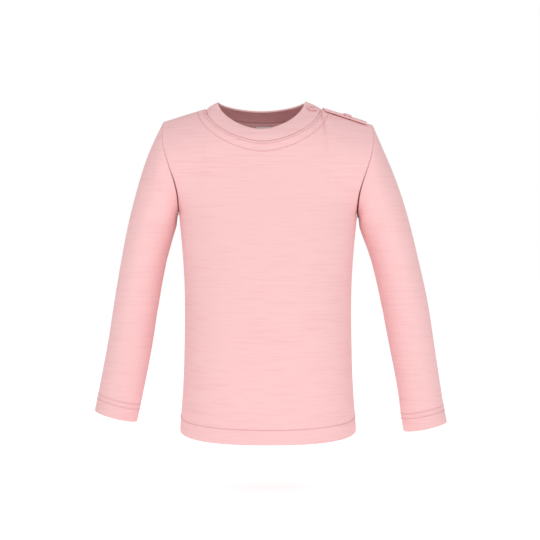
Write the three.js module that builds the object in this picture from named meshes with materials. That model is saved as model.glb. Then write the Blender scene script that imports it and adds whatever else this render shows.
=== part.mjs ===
// Long-sleeve t-shirt for a small child, filled out as if worn, with nobody in it.
// Millimetres, +Z up. The front faces -Y and the wearer's left is +X. The origin lies between
// the shoulders, at the height of the shoulder seams beside the neck.
import * as THREE from "three";

const CLOTH = 1.5;            // wall of one layer of jersey
const TURNED_HEM = 2.4;       // wall where the hem or cuff is turned up and doubled
const BAND = 2.0;             // wall of the doubled neckband
const SEAM_GAP = 0.3;         // between neighbouring pieces
const ARMHOLE_EASE = 1.5;       // a sleeve stands this many half gaps back from the armhole
const HEM_DEPTH = 15;         // turned-up hem of the body
const HEM_DIP = 7;            // the hem hangs lower at centre front and back than at the sides
const HEM_SIDE_Z = -337;
const UNDERARM_Z = -120;
const UNDERARM_EASE = 1.7;    // a sleeve stands this far off the body at the underarm
const UNDERARM_REACH = 55;
const NECK_X = -5;            // the neck opening sits a little towards the wearer's right
const NECK_HALF_WIDTH = 59;   // neck seam, from its middle to the shoulder seam
const NECK_SIDE_Z = -8;
const SHOULDER_SLOPE = 0.32;
const SHOULDER_SOFTEN = 18;   // rounds the ridge line off across the middle of the neck
const ROUNDNESS = 2.5;        // superellipse power of the body's cross-section
const NECK_CURVE = 1.7;       // superellipse power of the neck's scoop
const COLUMNS = 28;           // across each body panel
const NECK_COLUMNS = 7;       // from centre front to the shoulder seam
const BODY_ROWS = 8;          // from the hem's stitching to the underarm
const YOKE_ROWS = 10;         // from the underarm to the shoulder seam

// Half-width and depths of the body at each height
const TORSO = [
  { z: -350, half: 91.5, front: 69, back: 65 },
  { z: -328, half: 90.5, front: 70, back: 65 },
  { z: -305, half: 88.2, front: 71.5, back: 64 },
  { z: -266, half: 86.5, front: 73.5, back: 61 },
  { z: -204, half: 85.5, front: 72, back: 56 },
  { z: -163, half: 87.2, front: 68, back: 57 },
  { z: -120, half: 91.5, front: 63, back: 60 },
  { z: -80, half: 100, front: 57, back: 60 },
  { z: -40, half: 108, front: 51, back: 53 },
  { z: 10, half: 108, front: 44, back: 42 },
];
// The armhole from the underarm to the shoulder point; depth is its share of the body's depth
const ARMHOLE = [
  { z: -120, x: 91.5, depth: 0.0 },
  { z: -112, x: 90.0, depth: 0.3 },
  { z: -98, x: 91.0, depth: 0.48 },
  { z: -83, x: 95.0, depth: 0.58 },
  { z: -68, x: 100.5, depth: 0.62 },
  { z: -52, x: 105.5, depth: 0.64 },
  { z: -38, x: 107.5, depth: 0.64 },
  { z: -23, x: 107.5, depth: 0.64 },
];
// Sleeves: the outer and inner edge of each section in front view, and half its depth
const SLEEVE_LEFT = [
  { outerX: 107.5, outerZ: -23, innerX: 91.5, innerZ: -120, depth: 36, y: 0 },
  { outerX: 118.5, outerZ: -49, innerX: 93.5, innerZ: -129, depth: 35, y: 0 },
  { outerX: 131.8, outerZ: -80, innerX: 97.5, innerZ: -141, depth: 33, y: 1 },
  { outerX: 145.2, outerZ: -121, innerX: 104, innerZ: -158, depth: 30.5, y: 1 },
  { outerX: 156.5, outerZ: -168, innerX: 111, innerZ: -184, depth: 28, y: 0 },
  { outerX: 164.8, outerZ: -204, innerX: 117, innerZ: -213, depth: 26, y: -1 },
  { outerX: 171, outerZ: -245, innerX: 124.5, innerZ: -252, depth: 24, y: -4 },
  { outerX: 176.5, outerZ: -283, innerX: 132.5, innerZ: -293, depth: 22, y: -8 },
  { outerX: 180.8, outerZ: -311, innerX: 136, innerZ: -321, depth: 20.5, y: -11 },
  { outerX: 184.4, outerZ: -328.6, innerX: 138.6, innerZ: -338.5, depth: 21, y: -13 },
];
const SLEEVE_RIGHT = [
  { outerX: 107.5, outerZ: -23, innerX: 91.5, innerZ: -120, depth: 36, y: 0 },
  { outerX: 120.5, outerZ: -48, innerX: 93.5, innerZ: -129, depth: 35, y: 0 },
  { outerX: 131.5, outerZ: -78, innerX: 97, innerZ: -139, depth: 33, y: 1 },
  { outerX: 143.2, outerZ: -121, innerX: 102, innerZ: -157, depth: 30.5, y: 1 },
  { outerX: 151.5, outerZ: -163, innerX: 107, innerZ: -179, depth: 28, y: 0 },
  { outerX: 158.6, outerZ: -204, innerX: 112.5, innerZ: -211, depth: 26, y: -1 },
  { outerX: 164.8, outerZ: -245, innerX: 119, innerZ: -253, depth: 24, y: -4 },
  { outerX: 171, outerZ: -279, innerX: 126, innerZ: -290, depth: 22, y: -8 },
  { outerX: 175.2, outerZ: -301, innerX: 130.5, innerZ: -312, depth: 20.5, y: -11 },
  { outerX: 178.4, outerZ: -317, innerX: 134, innerZ: -328.5, depth: 21, y: -13 },
];
const SLEEVE_RINGS = 15;      // sections made from each table, besides the turned-up cuff
const CUFF_ROWS = 2;
// Side of the body: which way it faces, which column of TORSO it reads, its roll at the shoulder
const FRONT = { facing: -1, depth: "front", roll: 42, drop: 35 };
const BACK = { facing: 1, depth: "back", roll: 36, drop: 12 };
// Rim of the neckband
const RIM = { x: -7, z: -0.5, y: -3, half: 44.5, frontDrop: 30, backDrop: 8, frontY: 41, backY: 36 };
const LABEL = { half: 7.5, below: 5, length: 16, wall: 1.0 };
const SNAP = { outer: 4.5, inner: 2.6, height: 1.3 };

const QUARTER = Math.PI / 2;
const lerp = (a, b, t) => a + (b - a) * t;
const clamp = (value, low, high) => Math.min(high, Math.max(low, value));

// Smooth value of one column of a table, by row number
function alongRows(table, key, position) {
  const last = table.length - 1;
  const i = clamp(Math.floor(position), 0, last - 1);
  const t = position - i;
  const at = (k) => table[clamp(k, 0, last)][key];
  const [a, b, c, d] = [at(i - 1), at(i), at(i + 1), at(i + 2)];
  return b + 0.5 * t * (c - a + t * (2 * a - 5 * b + 4 * c - d + t * (3 * (b - c) + d - a)));
}

// The same, by height, for a table whose z rises from row to row
function atHeight(table, key, z) {
  const last = table.length - 1;
  let i = 0;
  while (i < last - 1 && table[i + 1].z < z) i += 1;
  const t = clamp((z - table[i].z) / (table[i + 1].z - table[i].z), 0, 1);
  return alongRows(table, key, i + t);
}

// Height of the shoulder ridge above a place on X
function ridgeZ(x) {
  const run = (d) => Math.hypot(d, SHOULDER_SOFTEN);
  return NECK_SIDE_Z - SHOULDER_SLOPE * (run(x - NECK_X) - run(NECK_HALF_WIDTH));
}

// Length of cloth over the rounded shoulder, from the chest up to the ridge
function rollLength(side) {
  return QUARTER * Math.sqrt((side.roll ** 2 + 52 ** 2) / 2);
}

// Distance up the cloth at a height, counted from where the shoulder starts to round over
function clothHeight(side, x, z) {
  const above = z - (ridgeZ(x) - side.roll);
  if (above <= 0) return above;
  return (rollLength(side) / QUARTER) * Math.asin(Math.min(1, above / side.roll));
}

// A point of the upper body from x, the distance up the cloth and the roundness across
function yokePoint(side, x, up, across) {
  const start = ridgeZ(x) - side.roll;
  const turn = (Math.max(0, up) / rollLength(side)) * QUARTER;
  const z = up <= 0 ? start + up : start + side.roll * Math.sin(turn);
  const depth = atHeight(TORSO, side.depth, z) * across * Math.max(0, Math.cos(turn));
  return new THREE.Vector3(x, side.facing * depth, z);
}

// One row of points from the armhole table, evenly spaced along its curve
function armholeStations(side) {
  const fine = 200;
  const points = [];
  for (let i = 0; i <= fine; i += 1) {
    const position = (i / fine) * (ARMHOLE.length - 1);
    const x = alongRows(ARMHOLE, "x", position);
    const z = alongRows(ARMHOLE, "z", position);
    const depth = clamp(alongRows(ARMHOLE, "depth", position), 0, 1);
    const top = i === fine;
    const up = top ? rollLength(side) : clothHeight(side, x, z);
    points.push({ x, up, depth, spot: yokePoint(side, x, up, depth) });
  }
  const walked = [0];
  for (let i = 1; i <= fine; i += 1) {
    walked.push(walked[i - 1] + points[i].spot.distanceTo(points[i - 1].spot));
  }
  const stations = [];
  for (let row = 0; row <= YOKE_ROWS; row += 1) {
    const goal = (walked[fine] * row) / YOKE_ROWS;
    let i = 0;
    while (i < fine && walked[i] < goal - 1e-9) i += 1;
    stations.push(points[i]);
  }
  return stations;
}

const superSin = (share, power) => Math.sin(share * QUARTER) ** (2 / power);
const superCos = (share, power) => Math.max(0, Math.cos(share * QUARTER)) ** (2 / power);

// Top edge of a half panel: the neck's scoop, then the shoulder seam
function topEdge(side, sign, share) {
  const neckShare = NECK_COLUMNS / (COLUMNS / 2);
  if (share < neckShare - 1e-9) {
    const turn = share / neckShare;
    const x = NECK_X + sign * NECK_HALF_WIDTH * superSin(turn, NECK_CURVE);
    const z = NECK_SIDE_Z - side.drop * superCos(turn, NECK_CURVE);
    return { x, up: clothHeight(side, x, z) };
  }
  const t = (share - neckShare) / (1 - neckShare);
  const shoulder = ARMHOLE[ARMHOLE.length - 1].x;
  const x = lerp(NECK_X + sign * NECK_HALF_WIDTH, sign * shoulder, t);
  return { x, up: rollLength(side) };
}

// A point of the panel above the underarm: share runs from the middle to the armhole, row / YOKE_ROWS
// from the underarm to the top edge
function yokeAt(side, stations, sign, share, row) {
  const w = row / YOKE_ROWS;
  const low = (s) => {
    const x = sign * ARMHOLE[0].x * superSin(s, ROUNDNESS);
    return { x, up: clothHeight(side, x, UNDERARM_Z) };
  };
  const i = Math.min(YOKE_ROWS - 1, Math.floor(row));
  const edge = (key) => lerp(stations[i][key], stations[i + 1][key], row - i);
  const rim = { x: sign * edge("x"), up: edge("up") };
  const centre = {
    x: lerp(low(0).x, topEdge(side, sign, 0).x, w),
    up: lerp(low(0).up, topEdge(side, sign, 0).up, w),
  };
  const coons = (key) => {
    const bottom = low(share)[key];
    const top = topEdge(side, sign, share)[key];
    const corners = (1 - share) * ((1 - w) * low(0)[key] + w * topEdge(side, sign, 0)[key])
      + share * ((1 - w) * low(1)[key] + w * topEdge(side, sign, 1)[key]);
    return (1 - w) * bottom + w * top + (1 - share) * centre[key] + share * rim[key] - corners;
  };
  const x = coons("x");
  const reach = clamp(Math.abs((x - centre.x) / (rim.x - centre.x)), 0, 1);
  const cut = 1 - edge("depth") ** ROUNDNESS;
  const across = Math.max(0, 1 - cut * reach ** ROUNDNESS) ** (1 / ROUNDNESS);
  return yokePoint(side, x, coons("up"), across);
}

// A point of the panel below the underarm, t from the hem's edge (0) to the underarm (1)
function trunkAt(side, sign, share, z) {
  const half = atHeight(TORSO, "half", z);
  const depth = atHeight(TORSO, side.depth, z);
  const x = sign * half * superSin(share, ROUNDNESS);
  return new THREE.Vector3(x, side.facing * depth * superCos(share, ROUNDNESS), z);
}

// The outer points of a body panel, row by row from the hem, left to right seen from outside
function bodyPanel(side) {
  const stations = armholeStations(side);
  const rows = [];
  const walls = [];
  const half = COLUMNS / 2;
  const eachColumn = (make) => {
    const row = [];
    for (let j = 0; j <= COLUMNS; j += 1) {
      const sign = (j < half ? 1 : -1) * side.facing;
      row.push(make(sign, Math.abs(j - half) / half));
    }
    return row;
  };
  const hemZ = (share) => HEM_SIDE_Z - HEM_DIP * superCos(share, ROUNDNESS);
  for (const above of [0, HEM_DEPTH / 2, HEM_DEPTH - 0.4]) {
    rows.push(eachColumn((sign, share) => trunkAt(side, sign, share, hemZ(share) + above)));
    walls.push(TURNED_HEM);
  }
  for (let i = 0; i < BODY_ROWS; i += 1) {
    const t = i / BODY_ROWS;
    rows.push(eachColumn((sign, share) => {
      const z = lerp(hemZ(share) + HEM_DEPTH + 0.4, UNDERARM_Z, t);
      return trunkAt(side, sign, share, z);
    }));
    walls.push(CLOTH);
  }
  for (let i = 0; i <= YOKE_ROWS; i += 1) {
    rows.push(eachColumn((sign, share) => yokeAt(side, stations, sign, share, i)));
    walls.push(CLOTH);
  }
  return { rows, walls, stations };
}

// Ring of points around the armhole: up the front from the underarm, then down the back
function armholeRing(front, back, sign) {
  const first = front.rows.length - 1 - YOKE_ROWS;
  const column = (panel, facing) => (sign * facing < 0 ? COLUMNS : 0);
  const ring = [];
  for (let i = 0; i <= YOKE_ROWS; i += 1) ring.push(front.rows[first + i][column(front, -1)]);
  for (let i = YOKE_ROWS - 1; i >= 0; i -= 1) ring.push(back.rows[first + i][column(back, 1)]);
  return ring;
}

// The sleeve's outer points, ring by ring from the cuff's edge up to the armhole
function sleevePanel(ring, table, sign) {
  const section = (position) => {
    const at = (key) => alongRows(table, key, position);
    const outer = new THREE.Vector3(sign * at("outerX"), at("y"), at("outerZ"));
    const inner = new THREE.Vector3(sign * at("innerX"), at("y"), at("innerZ"));
    return { middle: outer.clone().lerp(inner, 0.5), across: outer.sub(inner).multiplyScalar(0.5),
      depth: at("depth") };
  };
  const top = section(0);
  const angles = ring.map((point) => {
    const from = point.clone().sub(top.middle);
    return Math.atan2(from.y / top.depth, from.dot(top.across) / top.across.lengthSq());
  });
  const place = (shape, angle) => shape.middle.clone()
    .addScaledVector(shape.across, Math.cos(angle))
    .add(new THREE.Vector3(0, shape.depth * Math.sin(angle), 0));
  const last = table.length - 1;
  const positions = [];
  for (let i = 0; i <= CUFF_ROWS; i += 1) positions.push(last - (i / CUFF_ROWS) * 0.97);
  for (let i = 0; i < SLEEVE_RINGS; i += 1) positions.push((last - 1.03) * (1 - i / SLEEVE_RINGS));
  positions.push(0);
  const rows = positions.map((position) => {
    const shape = section(position);
    const keep = Math.max(0, 1 - position / 2.5) ** 2;
    return ring.map((point, j) => {
      const off = point.clone().sub(place(top, angles[j]));
      return place(shape, angles[j]).addScaledVector(off, keep);
    });
  });
  rows[rows.length - 1] = ring.map((point) => point.clone());
  const walls = positions.map((position) => (position > last - 1 ? TURNED_HEM : CLOTH));
  if (sign < 0) rows.forEach((row) => row.reverse());
  return { rows, walls, closed: true };
}

// The neckband follows the neck seam round from under the lap at the wearer's left shoulder
function neckbandPanel(front, back) {
  const half = COLUMNS / 2;
  const top = front.rows.length - 1;
  const seam = [];
  for (let k = 2; k > 0; k -= 1) {
    seam.push({ spot: front.rows[top][half + NECK_COLUMNS - k], turn: (NECK_COLUMNS - k) / NECK_COLUMNS,
      sign: 1, facing: -1, under: 1 });
  }
  for (let j = -NECK_COLUMNS; j <= NECK_COLUMNS; j += 1) {
    seam.push({ spot: back.rows[top][half + j], turn: Math.abs(j) / NECK_COLUMNS, sign: j < 0 ? 1 : -1,
      facing: 1, under: j === -NECK_COLUMNS ? 1 : 0 });
  }
  for (let j = 1 - NECK_COLUMNS; j <= NECK_COLUMNS; j += 1) {
    seam.push({ spot: front.rows[top][half + j], turn: Math.abs(j) / NECK_COLUMNS, sign: j < 0 ? -1 : 1,
      facing: -1, under: 0 });
  }
  const rim = ({ turn, sign, facing }) => {
    const drop = facing < 0 ? RIM.frontDrop : RIM.backDrop;
    const reach = facing < 0 ? RIM.frontY : RIM.backY;
    return new THREE.Vector3(
      RIM.x + sign * RIM.half * superSin(turn, NECK_CURVE),
      RIM.y + facing * reach * superCos(turn, 2),
      RIM.z - drop * superCos(turn, NECK_CURVE),
    );
  };
  const rows = [];
  for (const up of [0, 0.35, 0.7, 1]) {
    rows.push(seam.map((point) => {
      const edge = rim(point);
      const outward = new THREE.Vector3(edge.x - RIM.x, edge.y - RIM.y, 18).normalize();
      return point.spot.clone().lerp(edge, up).addScaledVector(outward, 5 * up * (1 - up));
    }));
  }
  const sink = seam.map((point) => point.under * (BAND + SEAM_GAP));
  return { rows, walls: rows.map(() => BAND), sink };
}

// Normals of every panel, shared where panels meet, so that both edges of a seam are parallel
function shareNormals(panels) {
  const key = (p) => `${Math.round(p.x * 1e3)},${Math.round(p.y * 1e3)},${Math.round(p.z * 1e3)}`;
  const sums = new Map();
  const add = (p, n) => {
    const k = key(p);
    if (!sums.has(k)) sums.set(k, new THREE.Vector3());
    sums.get(k).add(n);
  };
  for (const { rows, closed, sink } of panels) {
    const count = rows[0].length;
    const steps = closed ? count : count - 1;
    for (let i = 0; i < rows.length - 1; i += 1) {
      for (let j = 0; j < steps; j += 1) {
        if (sink && (sink[j] > 0 || sink[(j + 1) % count] > 0) && j < 2) continue;
        const corners = [rows[i][j], rows[i][(j + 1) % count], rows[i + 1][(j + 1) % count], rows[i + 1][j]];
        const n = corners[2].clone().sub(corners[0]).cross(corners[3].clone().sub(corners[1]));
        corners.forEach((p) => add(p, n));
      }
    }
  }
  for (const panel of panels) {
    panel.normals = panel.rows.map((row) => row.map((p) => sums.get(key(p)).clone().normalize()));
  }
}

// Draws every open edge of a panel back by half the seam's gap
function openSeams(panel) {
  const { rows, closed } = panel;
  const last = rows.length - 1;
  const end = rows[0].length - 1;
  const toward = (from, to) => to.clone().sub(from).setLength(SEAM_GAP / 2);
  const moved = rows.map((row, i) => row.map((p, j) => {
    const next = p.clone();
    if (i === last) next.add(toward(p, rows[last - 1][j]).multiplyScalar(closed ? ARMHOLE_EASE : 1));
    if (i === 0 && panel.lowSeam) next.add(toward(p, rows[1][j]));
    if (closed && i >= last - 1) {
      const near = clamp(1 - (p.z - UNDERARM_Z) / UNDERARM_REACH, 0, 1);
      next.x += Math.sign(p.x) * UNDERARM_EASE * near;
    }
    if (!closed && j === 0) next.add(toward(p, row[1]));
    if (!closed && j === end) next.add(toward(p, row[end - 1]));
    return next;
  }));
  panel.rows = moved;
}

// A closed wall from its outer points, its inward directions and its thicknesses
function wallMesh(name, panel, colour) {
  const { rows, normals, walls, closed, sink } = panel;
  const count = rows[0].length;
  const positions = [];
  const layer = (depthAt) => rows.forEach((row, i) => row.forEach((p, j) => {
    const q = p.clone().addScaledVector(normals[i][j], -depthAt(i, j));
    positions.push(q.x, q.y, q.z);
  }));
  const lowered = (j) => (sink ? sink[j] : 0);
  layer((i, j) => lowered(j));
  layer((i, j) => lowered(j) + walls[i]);
  const inner = rows.length * count;
  const at = (i, j) => i * count + (j % count);
  const index = [];
  const quad = (a, b, c, d) => index.push(a, b, c, a, c, d);
  const steps = closed ? count : count - 1;
  for (let i = 0; i < rows.length - 1; i += 1) {
    for (let j = 0; j < steps; j += 1) {
      quad(at(i, j), at(i, j + 1), at(i + 1, j + 1), at(i + 1, j));
      quad(inner + at(i + 1, j), inner + at(i + 1, j + 1), inner + at(i, j + 1), inner + at(i, j));
    }
  }
  const top = rows.length - 1;
  for (let j = 0; j < steps; j += 1) {
    quad(inner + at(0, j), inner + at(0, j + 1), at(0, j + 1), at(0, j));
    quad(at(top, j), at(top, j + 1), inner + at(top, j + 1), inner + at(top, j));
  }
  if (!closed) {
    for (let i = 0; i < top; i += 1) {
      quad(at(i, 0), at(i + 1, 0), inner + at(i + 1, 0), inner + at(i, 0));
      quad(inner + at(i, count - 1), inner + at(i + 1, count - 1), at(i + 1, count - 1), at(i, count - 1));
    }
  }
  const geometry = new THREE.BufferGeometry();
  geometry.setAttribute("position", new THREE.Float32BufferAttribute(positions, 3));
  geometry.setIndex(index);
  return solid(name, geometry, colour);
}

function solid(name, geometry, colour) {
  const material = new THREE.MeshStandardMaterial({ color: colour, roughness: 0.9, metalness: 0 });
  const mesh = new THREE.Mesh(geometry, material);
  mesh.name = name;
  return mesh;
}

// A patch that lies on a panel: some of the panel's own points, moved out (or in, if negative)
function patchOn(panel, rowList, columnList, offset, wall) {
  const pick = (grid, i, j) => {
    const [i0, j0] = [Math.floor(i), Math.floor(j)];
    const [i1, j1] = [Math.ceil(i), Math.ceil(j)];
    const low = grid[i0][j0].clone().lerp(grid[i0][j1], j - j0);
    return low.lerp(grid[i1][j0].clone().lerp(grid[i1][j1], j - j0), i - i0);
  };
  const rows = rowList.map((i) => columnList.map((j) => pick(panel.rows, i, j)));
  const normals = rowList.map((i) => columnList.map((j) => pick(panel.normals, i, j).normalize()));
  rows.forEach((row, i) => row.forEach((p, j) => p.addScaledVector(normals[i][j], offset)));
  return { rows, normals, walls: rows.map(() => wall) };
}

// A snap's ring, standing on a panel
function snapRing(name, panel, i, j, lift) {
  const patch = patchOn(panel, [i], [j], lift, CLOTH);
  const { outer, inner, height } = SNAP;
  const profile = [
    new THREE.Vector2(inner, 0), new THREE.Vector2(outer, 0), new THREE.Vector2(outer, height * 0.6),
    new THREE.Vector2(outer * 0.86, height), new THREE.Vector2(inner * 1.15, height),
    new THREE.Vector2(inner, height * 0.6), new THREE.Vector2(inner, 0),
  ];
  const mesh = solid(name, new THREE.LatheGeometry(profile, 20), SNAP_PINK);
  mesh.position.copy(patch.rows[0][0]);
  mesh.quaternion.setFromUnitVectors(new THREE.Vector3(0, 1, 0), patch.normals[0][0]);
  return mesh;
}

const PINK = 0xf2c4c4;
const SNAP_PINK = 0xf0bcbd;
const WHITE = 0xfafafa;
const shirt = new THREE.Group();

const front = bodyPanel(FRONT);
const back = bodyPanel(BACK);
const sleeveLeft = sleevePanel(armholeRing(front, back, 1), SLEEVE_LEFT, 1);
const sleeveRight = sleevePanel(armholeRing(front, back, -1), SLEEVE_RIGHT, -1);
const neckband = neckbandPanel(front, back);
neckband.lowSeam = true;
const panels = [front, back, sleeveLeft, sleeveRight, neckband];
shareNormals(panels);
panels.forEach(openSeams);

shirt.add(wallMesh("front", front, PINK));
shirt.add(wallMesh("back", back, PINK));
shirt.add(wallMesh("sleeve_left", sleeveLeft, PINK));
shirt.add(wallMesh("sleeve_right", sleeveRight, PINK));
shirt.add(wallMesh("neckband", neckband, PINK));

const topRow = front.rows.length - 1;
const neckCorner = COLUMNS / 2 + NECK_COLUMNS;
const shoulderColumns = [];
for (let j = neckCorner + 0.15; j < COLUMNS - 0.9; j = Math.floor(j) + 1) shoulderColumns.push(j);
const placket = patchOn(front, [topRow - 1, topRow], shoulderColumns, SEAM_GAP + CLOTH, CLOTH);
const underlap = patchOn(front, [topRow - 1, topRow], shoulderColumns, -SEAM_GAP - CLOTH, CLOTH);
shirt.add(wallMesh("shoulder_placket", placket, PINK));
shirt.add(wallMesh("shoulder_underlap", underlap, PINK));

const snapLift = 2 * SEAM_GAP;
shirt.add(snapRing("snap_neckband", neckband, 1.6, neckband.rows[0].length - 2.0, snapLift));
shirt.add(snapRing("snap_shoulder", placket, 0.5, (shoulderColumns.length - 1) * 0.55, snapLift));

const labelTop = topRow - LABEL.below / 11;
const labelRows = [labelTop - LABEL.length / 11, Math.floor(labelTop), labelTop];
const middle = COLUMNS / 2;
const label = patchOn(back, labelRows, [middle - 0.8, middle, middle + 0.8], -SEAM_GAP - CLOTH, LABEL.wall);
shirt.add(wallMesh("neck_label", label, WHITE));

export default shirt;
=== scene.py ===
# A small child's long-sleeve t-shirt in fine pink jersey, filled out as if worn.
# Metres, +Z up, the front faces -Y and the wearer's left is +X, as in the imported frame.
import math

import bmesh
import bpy
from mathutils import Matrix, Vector
from mathutils.bvhtree import BVHTree


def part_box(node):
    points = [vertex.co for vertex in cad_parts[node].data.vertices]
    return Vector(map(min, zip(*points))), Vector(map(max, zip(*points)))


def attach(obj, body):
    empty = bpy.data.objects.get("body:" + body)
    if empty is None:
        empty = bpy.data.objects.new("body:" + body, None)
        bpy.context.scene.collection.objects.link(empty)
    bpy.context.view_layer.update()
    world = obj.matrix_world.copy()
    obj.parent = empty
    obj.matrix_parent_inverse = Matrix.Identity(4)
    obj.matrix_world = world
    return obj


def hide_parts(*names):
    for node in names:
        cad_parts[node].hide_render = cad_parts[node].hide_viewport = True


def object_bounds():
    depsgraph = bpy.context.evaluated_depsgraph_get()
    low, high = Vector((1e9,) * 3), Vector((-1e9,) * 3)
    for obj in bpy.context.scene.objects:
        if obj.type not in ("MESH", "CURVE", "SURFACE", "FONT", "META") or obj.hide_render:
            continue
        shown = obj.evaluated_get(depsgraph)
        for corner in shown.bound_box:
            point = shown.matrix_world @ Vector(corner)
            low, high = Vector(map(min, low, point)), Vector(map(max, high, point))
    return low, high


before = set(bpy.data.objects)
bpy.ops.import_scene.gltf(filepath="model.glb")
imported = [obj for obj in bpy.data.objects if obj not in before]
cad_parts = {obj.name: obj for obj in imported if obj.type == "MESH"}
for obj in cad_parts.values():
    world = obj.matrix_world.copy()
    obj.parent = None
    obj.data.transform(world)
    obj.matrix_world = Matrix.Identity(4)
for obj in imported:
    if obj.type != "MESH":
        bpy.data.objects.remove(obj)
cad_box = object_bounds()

MM = 0.001
FLOOR_DROP = 60 * MM          # the floor lies this far under the shirt, which the wearer holds up
CAMERA_DISTANCE = 1.5
CAMERA_HEIGHT = -0.095        # the camera's own height, beside the shirt's middle
AIM = Vector((0.002, 0.0, -0.1735))
VIEW_WIDTH = 0.556            # seen across the frame at the shirt's middle
HEM_DEPTH = 15 * MM
CUFF_DEPTH = 15 * MM
HEM_DIP = 7 * MM              # the hem hangs this much lower at the middle than at the sides
HEM_CURVE = 0.8
HEM_MARGIN = 0.01             # share of a half turn left bare at each side seam
NECK_X = -5 * MM
NECK_HALF = 59 * MM
NECK_SIDE_Z = -8 * MM
NECK_DROP = 35 * MM
BACK_NECK_DROP = 12 * MM
NECK_POWER = 1.7              # 2 would make the neck's edge an ellipse
NECK_MARGIN = 0.02            # share of the half turn left bare at each end of a neck row
NECK_ROWS = {"near": 1.8 * MM, "far": 7.6 * MM}
NECK_SINK = 0.3               # how fast a row drops as it moves out from the seam
CUFF_ROWS = {"low": CUFF_DEPTH - 2 * MM, "high": CUFF_DEPTH + 3 * MM}
CUFF_Y = -11.5 * MM           # the middle of both cuffs, front to back
NECK_STEPS = 90
HEM_STEPS = 150
CUFF_STEPS = 80
NECK_CAST = 0.3               # how far outside the cloth the rays for each kind of row start
HEM_CAST = 0.2
CUFF_CAST = 0.036
STITCH = 2.3 * MM             # length of one stitch
STITCH_STEP = 3.0 * MM
THREAD = 0.42 * MM            # half the thread's width
THREAD_SIDES = 6
THREAD_LIFT = 0.55            # height of its middle over the cloth, in half-widths
THREAD_FLATNESS = 0.7
PINK = (0.885, 0.545, 0.55)
DEEP_PINK = (0.82, 0.455, 0.465)
SMOOTH_LEVELS = 2
LABEL_LEVELS = 1
FLAT_ENOUGH = math.radians(40)       # two triangles that bend less than this become one quad
SQUARE_ENOUGH = math.radians(60)
SHARP = math.radians(50)             # an edge that bends more than this stays crisp
CREASE = 0.85
FOLD_FADE = 0.12                     # how far into its half wave of depth a fold starts
SLUB_SCALE = (30, 30, 620)           # streaks across the cloth, thin in height
YARN_SCALE = (1400, 1400, 900)
WALE_SCALE = 330.0
WORLD_LIGHT = 0.44
FLOOR_GLOW = 0.62
FLOOR_SIZE = 8

# Each stitch is a spindle. The columns are the share of its length and the share of its full width.
SPINDLE = ((0.0, 0.35), (0.2, 1.0), (0.8, 1.0), (1.0, 0.35))

# The columns are the outer and the inner end of the cuff's edge (x, z), and the way up the sleeve.
CUFFS = {
    "sleeve_left": ((0.1844, -0.3286), (0.1386, -0.3385), (-0.21, 0, 0.98)),
    "sleeve_right": ((-0.1784, -0.317), (-0.134, -0.3285), (0.2, 0, 0.98)),
}

# The columns are where the lamp stands, its width and height, and its power in watts.
LAMPS = {
    "key": ((-0.5, -1.5, 1.0), (1.4, 1.4), 10),
    "fill": ((0.9, -1.3, 0.5), (1.2, 1.4), 4.5),
    "top": ((0, 0.2, 1.3), (1.2, 1.2), 4),
}
LAMP_AIM = (0, 0, -0.17)


def add_camera():
    data = bpy.data.cameras.new("camera")
    data.lens_unit = "MILLIMETERS"
    data.sensor_width = 36.0
    data.lens = data.sensor_width * CAMERA_DISTANCE / VIEW_WIDTH
    camera = bpy.data.objects.new("camera", data)
    bpy.context.collection.objects.link(camera)
    camera.location = (AIM.x, -CAMERA_DISTANCE, CAMERA_HEIGHT)
    camera.rotation_euler = (AIM - camera.location).to_track_quat("-Z", "Y").to_euler()
    bpy.context.scene.camera = camera


# ---- materials ----

class Nodes:
    """A material's nodes, made and joined by short calls."""

    def __init__(self, name):
        self.material = bpy.data.materials.new(name)
        self.material.use_nodes = True
        self.tree = self.material.node_tree
        self.shader = self.tree.nodes["Principled BSDF"]

    def add(self, kind, **values):
        node = self.tree.nodes.new(kind)
        for name, value in values.items():
            setattr(node, name, value)
        return node

    def link(self, source, target):
        self.tree.links.new(source, target)


def stretched(nodes, place, scale):
    mapping = nodes.add("ShaderNodeMapping")
    mapping.inputs["Scale"].default_value = scale
    nodes.link(place.outputs["Object"], mapping.inputs["Vector"])
    return mapping.outputs["Vector"]


def noise(nodes, vector, scale, detail=3.0):
    texture = nodes.add("ShaderNodeTexNoise")
    texture.inputs["Scale"].default_value = scale
    texture.inputs["Detail"].default_value = detail
    nodes.link(vector, texture.inputs["Vector"])
    return texture.outputs["Fac"]


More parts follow.
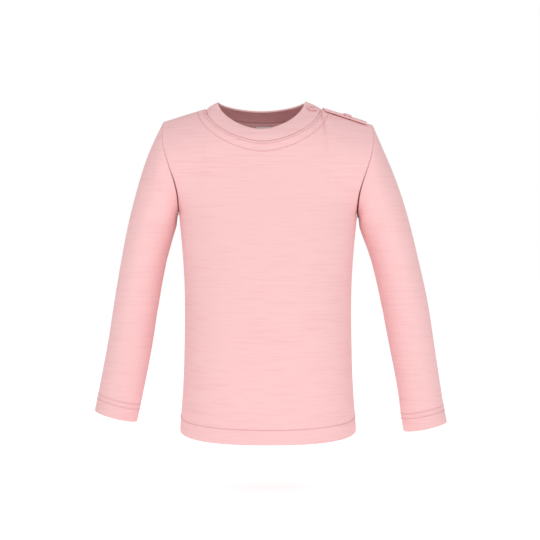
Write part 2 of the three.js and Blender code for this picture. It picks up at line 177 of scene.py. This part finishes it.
def jersey(name, colour, deep):
    """Fine single jersey: upright wales, short slubs across, a slight unevenness of dye."""
    nodes = Nodes(name)
    place = nodes.add("ShaderNodeTexCoord")
    slubs = noise(nodes, stretched(nodes, place, SLUB_SCALE), 1.0, 2.0)
    dye = noise(nodes, stretched(nodes, place, (1, 1, 1)), 9.0)
    yarn = noise(nodes, stretched(nodes, place, YARN_SCALE), 1.0, 1.0)
    ramp = nodes.add("ShaderNodeValToRGB")
    ramp.color_ramp.elements[0].position = 0.26
    ramp.color_ramp.elements[0].color = (*deep, 1)
    ramp.color_ramp.elements[1].position = 0.52
    ramp.color_ramp.elements[1].color = (*colour, 1)
    nodes.link(slubs, ramp.inputs["Fac"])
    blend = nodes.add("ShaderNodeMix", data_type="RGBA")
    blend.inputs["A"].default_value = (*colour, 1)
    nodes.link(ramp.outputs["Color"], blend.inputs["B"])
    share = nodes.add("ShaderNodeMapRange")
    share.inputs["From Min"].default_value = 0.3
    share.inputs["From Max"].default_value = 0.7
    share.inputs["To Min"].default_value = 0.35
    share.inputs["To Max"].default_value = 0.75
    nodes.link(dye, share.inputs["Value"])
    nodes.link(share.outputs["Result"], blend.inputs["Factor"])
    nodes.link(blend.outputs["Result"], nodes.shader.inputs["Base Color"])
    wales = nodes.add("ShaderNodeTexWave", wave_type="BANDS", bands_direction="X")
    wales.inputs["Scale"].default_value = WALE_SCALE
    wales.inputs["Distortion"].default_value = 1.2
    nodes.link(place.outputs["Object"], wales.inputs["Vector"])
    height = nodes.add("ShaderNodeMath", operation="ADD")
    nodes.link(wales.outputs["Fac"], height.inputs[0])
    nodes.link(yarn, height.inputs[1])
    bump = nodes.add("ShaderNodeBump")
    bump.inputs["Strength"].default_value = 0.22
    bump.inputs["Distance"].default_value = 0.00012
    nodes.link(height.outputs["Value"], bump.inputs["Height"])
    soft = nodes.add("ShaderNodeBump")
    soft.inputs["Strength"].default_value = 0.25
    soft.inputs["Distance"].default_value = 0.0005
    nodes.link(slubs, soft.inputs["Height"])
    nodes.link(bump.outputs["Normal"], soft.inputs["Normal"])
    nodes.link(soft.outputs["Normal"], nodes.shader.inputs["Normal"])
    nodes.shader.inputs["Roughness"].default_value = 0.88
    nodes.shader.inputs["Specular IOR Level"].default_value = 0.2
    nodes.shader.inputs["Sheen Weight"].default_value = 0.12
    nodes.shader.inputs["Sheen Roughness"].default_value = 0.5
    return nodes.material


def speckled(name, colour, second, scale, roughness):
    """A small even material with a fine grain: thread, enamel or woven tape."""
    nodes = Nodes(name)
    place = nodes.add("ShaderNodeTexCoord")
    ramp = nodes.add("ShaderNodeValToRGB")
    ramp.color_ramp.elements[0].color = (*second, 1)
    ramp.color_ramp.elements[1].color = (*colour, 1)
    grain = noise(nodes, place.outputs["Object"], scale)
    nodes.link(grain, ramp.inputs["Fac"])
    nodes.link(ramp.outputs["Color"], nodes.shader.inputs["Base Color"])
    bump = nodes.add("ShaderNodeBump")
    bump.inputs["Strength"].default_value = 0.2
    bump.inputs["Distance"].default_value = 0.0001
    nodes.link(grain, bump.inputs["Height"])
    nodes.link(bump.outputs["Normal"], nodes.shader.inputs["Normal"])
    nodes.shader.inputs["Roughness"].default_value = roughness
    return nodes.material


# ---- cloth ----

# Soft folds of the cloth, in mm. The columns are where each starts and ends (x, z), its half-width,
# and how far it stands out, or goes in if negative.
FOLDS = {
    "front": [
        ((-88, -112), (-58, -128), 9, -1.1), ((90, -110), (62, -124), 8, -1.0),
        ((-84, -96), (-50, -88), 8, 0.7), ((84, -98), (56, -86), 8, 0.7),
        ((-60, -285), (-20, -322), 14, -0.8), ((66, -270), (30, -318), 15, -0.8),
        ((-30, -190), (26, -212), 16, -0.5),
    ],
    "back": [
        ((-86, -112), (-50, -132), 9, -1.2), ((86, -114), (50, -128), 9, -1.2),
        ((-40, -180), (34, -196), 14, -1.3), ((-30, -214), (44, -222), 12, -1.0),
        ((-64, -270), (-40, -318), 14, -0.9), ((58, -262), (44, -316), 13, -0.9),
    ],
    "sleeve_left": [
        ((101, -128), (122, -118), 7, -1.5), ((110, -168), (138, -160), 7, -0.9),
        ((120, -214), (148, -224), 8, -0.9), ((134, -268), (158, -262), 7, -0.8),
        ((141, -300), (150, -332), 5, -0.9),
    ],
    "sleeve_right": [
        ((-99, -128), (-122, -116), 7, -1.6), ((-106, -160), (-136, -168), 8, -0.9),
        ((-116, -222), (-146, -214), 8, -0.9), ((-128, -262), (-152, -272), 7, -0.8),
    ],
}


def fold_shift(name, point):
    shift = 0.0
    for start, end, half_width, depth in FOLDS.get(name, []):
        a = Vector(start) * MM
        b = Vector(end) * MM
        p = Vector((point.x, point.z))
        along = (p - a).dot(b - a) / (b - a).length_squared
        nearest = a + (b - a) * min(1.0, max(0.0, along))
        away = (p - nearest).length / (half_width * MM)
        faded = FOLD_FADE + (1 - 2 * FOLD_FADE) * along
        fade = math.sin(math.pi * min(1.0, max(0.0, faded)))
        shift += depth * MM * fade * math.exp(-away * away)
    return shift


def smooth_cloth(name, material, levels=SMOOTH_LEVELS):
    """The node's wall again, with rounded surfaces, crisp cut edges and its folds."""
    source = bpy.data.objects[name]
    mesh = source.data.copy()
    cloth = bpy.data.objects.new(name + "_cloth", mesh)
    bpy.context.collection.objects.link(cloth)
    work = bmesh.new()
    work.from_mesh(mesh)
    bmesh.ops.remove_doubles(work, verts=work.verts, dist=1e-6)
    bmesh.ops.join_triangles(work, faces=work.faces, angle_face_threshold=FLAT_ENOUGH,
                             angle_shape_threshold=SQUARE_ENOUGH)
    crease = work.edges.layers.float.new("crease_edge")
    for edge in work.edges:
        if len(edge.link_faces) == 2 and edge.calc_face_angle(0.0) > SHARP:
            edge[crease] = CREASE
    work.to_mesh(mesh)
    work.free()
    rounding = cloth.modifiers.new("rounding", "SUBSURF")
    rounding.levels = levels
    rounding.render_levels = levels
    bpy.context.view_layer.update()
    rounded = cloth.evaluated_get(bpy.context.evaluated_depsgraph_get())
    shaped = bpy.data.meshes.new_from_object(rounded)
    cloth.modifiers.clear()
    cloth.data = shaped
    moves = [fold_shift(name, vertex.co) for vertex in shaped.vertices]
    middle = sum((v.co for v in shaped.vertices), Vector()) / len(shaped.vertices)
    for vertex, move in zip(shaped.vertices, moves):
        outward = Vector((vertex.co.x - middle.x, vertex.co.y - middle.y, 0)).normalized()
        vertex.co += outward * move
    shaped.shade_smooth()
    shaped.materials.clear()
    shaped.materials.append(material)
    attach(cloth, "root")
    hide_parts(name)
    return cloth


# ---- stitching ----

def stitches(name, path, material):
    """A row of stitches: one short spindle of thread after another along points with normals."""
    work = bmesh.new()
    walked = [0.0]
    for (a, _), (b, _) in zip(path, path[1:]):
        walked.append(walked[-1] + (b - a).length)

    def at(distance):
        i = 0
        while i < len(path) - 2 and walked[i + 1] < distance:
            i += 1
        t = (distance - walked[i]) / max(1e-9, walked[i + 1] - walked[i])
        point = path[i][0].lerp(path[i + 1][0], t)
        return point, path[i][1].lerp(path[i + 1][1], t).normalized()

    for k in range(int(walked[-1] / STITCH_STEP)):
        start, n = at(k * STITCH_STEP)
        end, _ = at(k * STITCH_STEP + STITCH)
        along = (end - start).normalized()
        side = n.cross(along).normalized()
        rings = []
        for share, size in SPINDLE:
            centre = start.lerp(end, share) + n * THREAD * (THREAD_LIFT * size)
            ring = []
            for turn in range(THREAD_SIDES):
                angle = 2 * math.pi * turn / THREAD_SIDES
                spread = side * math.cos(angle) * THREAD * size
                rise = n * math.sin(angle) * THREAD * THREAD_FLATNESS * size
                ring.append(work.verts.new(centre + spread + rise))
            rings.append(ring)
        for low, high in zip(rings, rings[1:]):
            for turn in range(THREAD_SIDES):
                after = (turn + 1) % THREAD_SIDES
                work.faces.new((low[turn], low[after], high[after], high[turn]))
        work.faces.new(list(reversed(rings[0])))
        work.faces.new(rings[-1])
    bmesh.ops.recalc_face_normals(work, faces=work.faces)
    mesh = bpy.data.meshes.new(name)
    work.to_mesh(mesh)
    work.free()
    mesh.shade_smooth()
    mesh.materials.append(material)
    row = bpy.data.objects.new(name, mesh)
    bpy.context.collection.objects.link(row)
    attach(row, "root")
    return row


def surface(cloth):
    points = [vertex.co.copy() for vertex in cloth.data.vertices]
    faces = [list(face.vertices) for face in cloth.data.polygons]
    return BVHTree.FromPolygons(points, faces)


def cast(tree, origin, direction):
    hit, normal, _, _ = tree.ray_cast(Vector(origin), Vector(direction))
    if hit is None:
        return None
    if normal.dot(Vector(direction)) > 0:
        normal = -normal
    return hit, normal


def neck_row(tree, facing, drop, out):
    """Points beside the neck seam, out metres below it, on the front (-1) or the back (1)."""
    path = []
    for i in range(NECK_STEPS + 1):
        turn = math.pi * (NECK_MARGIN + (1 - 2 * NECK_MARGIN) * i / NECK_STEPS)
        across = math.cos(turn)
        down = math.sin(turn)
        x = NECK_X - (NECK_HALF + out) * math.copysign(abs(across) ** (2 / NECK_POWER), across)
        z = NECK_SIDE_Z - (drop + out) * down ** (2 / NECK_POWER) - NECK_SINK * out
        found = cast(tree, (x, facing * NECK_CAST, z), (0, -facing, 0))
        if found:
            path.append(found)
    return path


def hem_row(tree, lowest, first):
    """Points over the hem's edge for half a turn from first, each cast in from outside."""
    path = []
    start = first + math.pi * HEM_MARGIN
    end = first + math.pi * (1 - HEM_MARGIN)
    for i in range(HEM_STEPS + 1):
        turn = start + (end - start) * i / HEM_STEPS
        height = lowest + HEM_DIP * (1 - abs(math.sin(turn)) ** HEM_CURVE) + HEM_DEPTH
        out = Vector((math.cos(turn), math.sin(turn), 0))
        origin = Vector((0, 0, height)) + out * HEM_CAST
        found = cast(tree, origin, -out)
        if found:
            path.append(found)
    return path


def cuff_row(tree, low_outer, low_inner, up, lean):
    """Points round a cuff: its edge runs from low_outer to low_inner, and the row is up above it."""
    outer = Vector((low_outer[0], CUFF_Y, low_outer[1]))
    inner = Vector((low_inner[0], CUFF_Y, low_inner[1]))
    across = (outer - inner) * 0.5
    axis = Vector(lean).normalized()
    middle = (outer + inner) * 0.5 + axis * up
    path = []
    for i in range(CUFF_STEPS + 1):
        turn = 2 * math.pi * i / CUFF_STEPS
        out = across.normalized() * math.cos(turn) + Vector((0, 1, 0)) * math.sin(turn)
        found = cast(tree, middle + out * CUFF_CAST, -out)
        if found:
            path.append(found)
    return path


def sew(cloth, thread):
    """Every stitch row, by the name of the cloth that it is sewn on."""
    trees = {name: surface(cloth[name]) for name in ("front", "back", "sleeve_left", "sleeve_right")}
    rows = {name: [] for name in trees}
    for tag, out in NECK_ROWS.items():
        for name, facing, drop in (("front", -1, NECK_DROP), ("back", 1, BACK_NECK_DROP)):
            path = neck_row(trees[name], facing, drop, out)
            rows[name].append(stitches("neck_" + name + "_" + tag, path, thread))
    low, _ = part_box("front")
    for name, first in (("front", math.pi), ("back", 0.0)):
        path = hem_row(trees[name], low[2], first)
        rows[name].append(stitches("hem_" + name, path, thread))
    for name, (outer, inner, lean) in CUFFS.items():
        for tag, up in CUFF_ROWS.items():
            path = cuff_row(trees[name], outer, inner, up, lean)
            rows[name].append(stitches(name + "_cuff_" + tag, path, thread))
    return rows


# ---- the shirt ----

def build_shirt():
    pink = jersey("jersey_pink", PINK, DEEP_PINK)
    thread = speckled("thread_pink", (0.80, 0.44, 0.455), (0.72, 0.36, 0.38), 900.0, 0.7)
    enamel = speckled("snap_enamel", (0.86, 0.50, 0.51), (0.83, 0.47, 0.48), 300.0, 0.35)
    tape = speckled("label_tape", (0.93, 0.93, 0.93), (0.86, 0.86, 0.86), 1200.0, 0.8)
    cloth = {}
    for name in ("front", "back", "sleeve_left", "sleeve_right", "neckband",
                 "shoulder_placket", "shoulder_underlap"):
        cloth[name] = smooth_cloth(name, pink)
    rows = sew(cloth, thread)
    for name in ("snap_neckband", "snap_shoulder"):
        snap = bpy.data.objects[name]
        snap.data.materials.clear()
        snap.data.materials.append(enamel)
    label = smooth_cloth("neck_label", tape, LABEL_LEVELS)


# ---- studio ----

def add_area(name, place, size, power):
    data = bpy.data.lights.new(name, "AREA")
    data.shape = "RECTANGLE"
    data.size, data.size_y = size
    data.energy = power
    lamp = bpy.data.objects.new(name, data)
    bpy.context.collection.objects.link(lamp)
    lamp.location = place
    lamp.rotation_euler = (Vector(LAMP_AIM) - lamp.location).to_track_quat("-Z", "Y").to_euler()


def add_studio():
    scene = bpy.context.scene
    scene.view_settings.view_transform = "Standard"
    world = bpy.data.worlds.new("studio")
    scene.world = world
    world.use_nodes = True
    tree = world.node_tree
    shade = tree.nodes["Background"]
    shade.inputs["Color"].default_value = (1, 1, 1, 1)
    shade.inputs["Strength"].default_value = WORLD_LIGHT
    bright = tree.nodes.new("ShaderNodeBackground")
    bright.inputs["Strength"].default_value = 1.0
    bright.inputs["Color"].default_value = (1, 1, 1, 1)
    rays = tree.nodes.new("ShaderNodeLightPath")
    mix = tree.nodes.new("ShaderNodeMixShader")
    tree.links.new(rays.outputs["Is Camera Ray"], mix.inputs["Fac"])
    tree.links.new(shade.outputs["Background"], mix.inputs[1])
    tree.links.new(bright.outputs["Background"], mix.inputs[2])
    tree.links.new(mix.outputs["Shader"], tree.nodes["World Output"].inputs["Surface"])
    for name, (place, size, power) in LAMPS.items():
        add_area(name, place, size, power)


def add_floor():
    bpy.ops.mesh.primitive_plane_add(size=FLOOR_SIZE, location=(0, 0, cad_box[0][2] - FLOOR_DROP))
    floor = bpy.context.object
    floor.name = "floor"
    nodes = Nodes("pale_floor")
    place = nodes.add("ShaderNodeTexCoord")
    ramp = nodes.add("ShaderNodeValToRGB")
    ramp.color_ramp.elements[0].color = (0.94, 0.94, 0.94, 1)
    ramp.color_ramp.elements[1].color = (0.97, 0.97, 0.97, 1)
    nodes.link(noise(nodes, place.outputs["Object"], 3.0), ramp.inputs["Fac"])
    nodes.link(ramp.outputs["Color"], nodes.shader.inputs["Base Color"])
    nodes.link(ramp.outputs["Color"], nodes.shader.inputs["Emission Color"])
    nodes.shader.inputs["Emission Strength"].default_value = FLOOR_GLOW
    nodes.shader.inputs["Roughness"].default_value = 0.95
    floor.data.materials.append(nodes.material)


add_camera()
build_shirt()
add_studio()
add_floor()
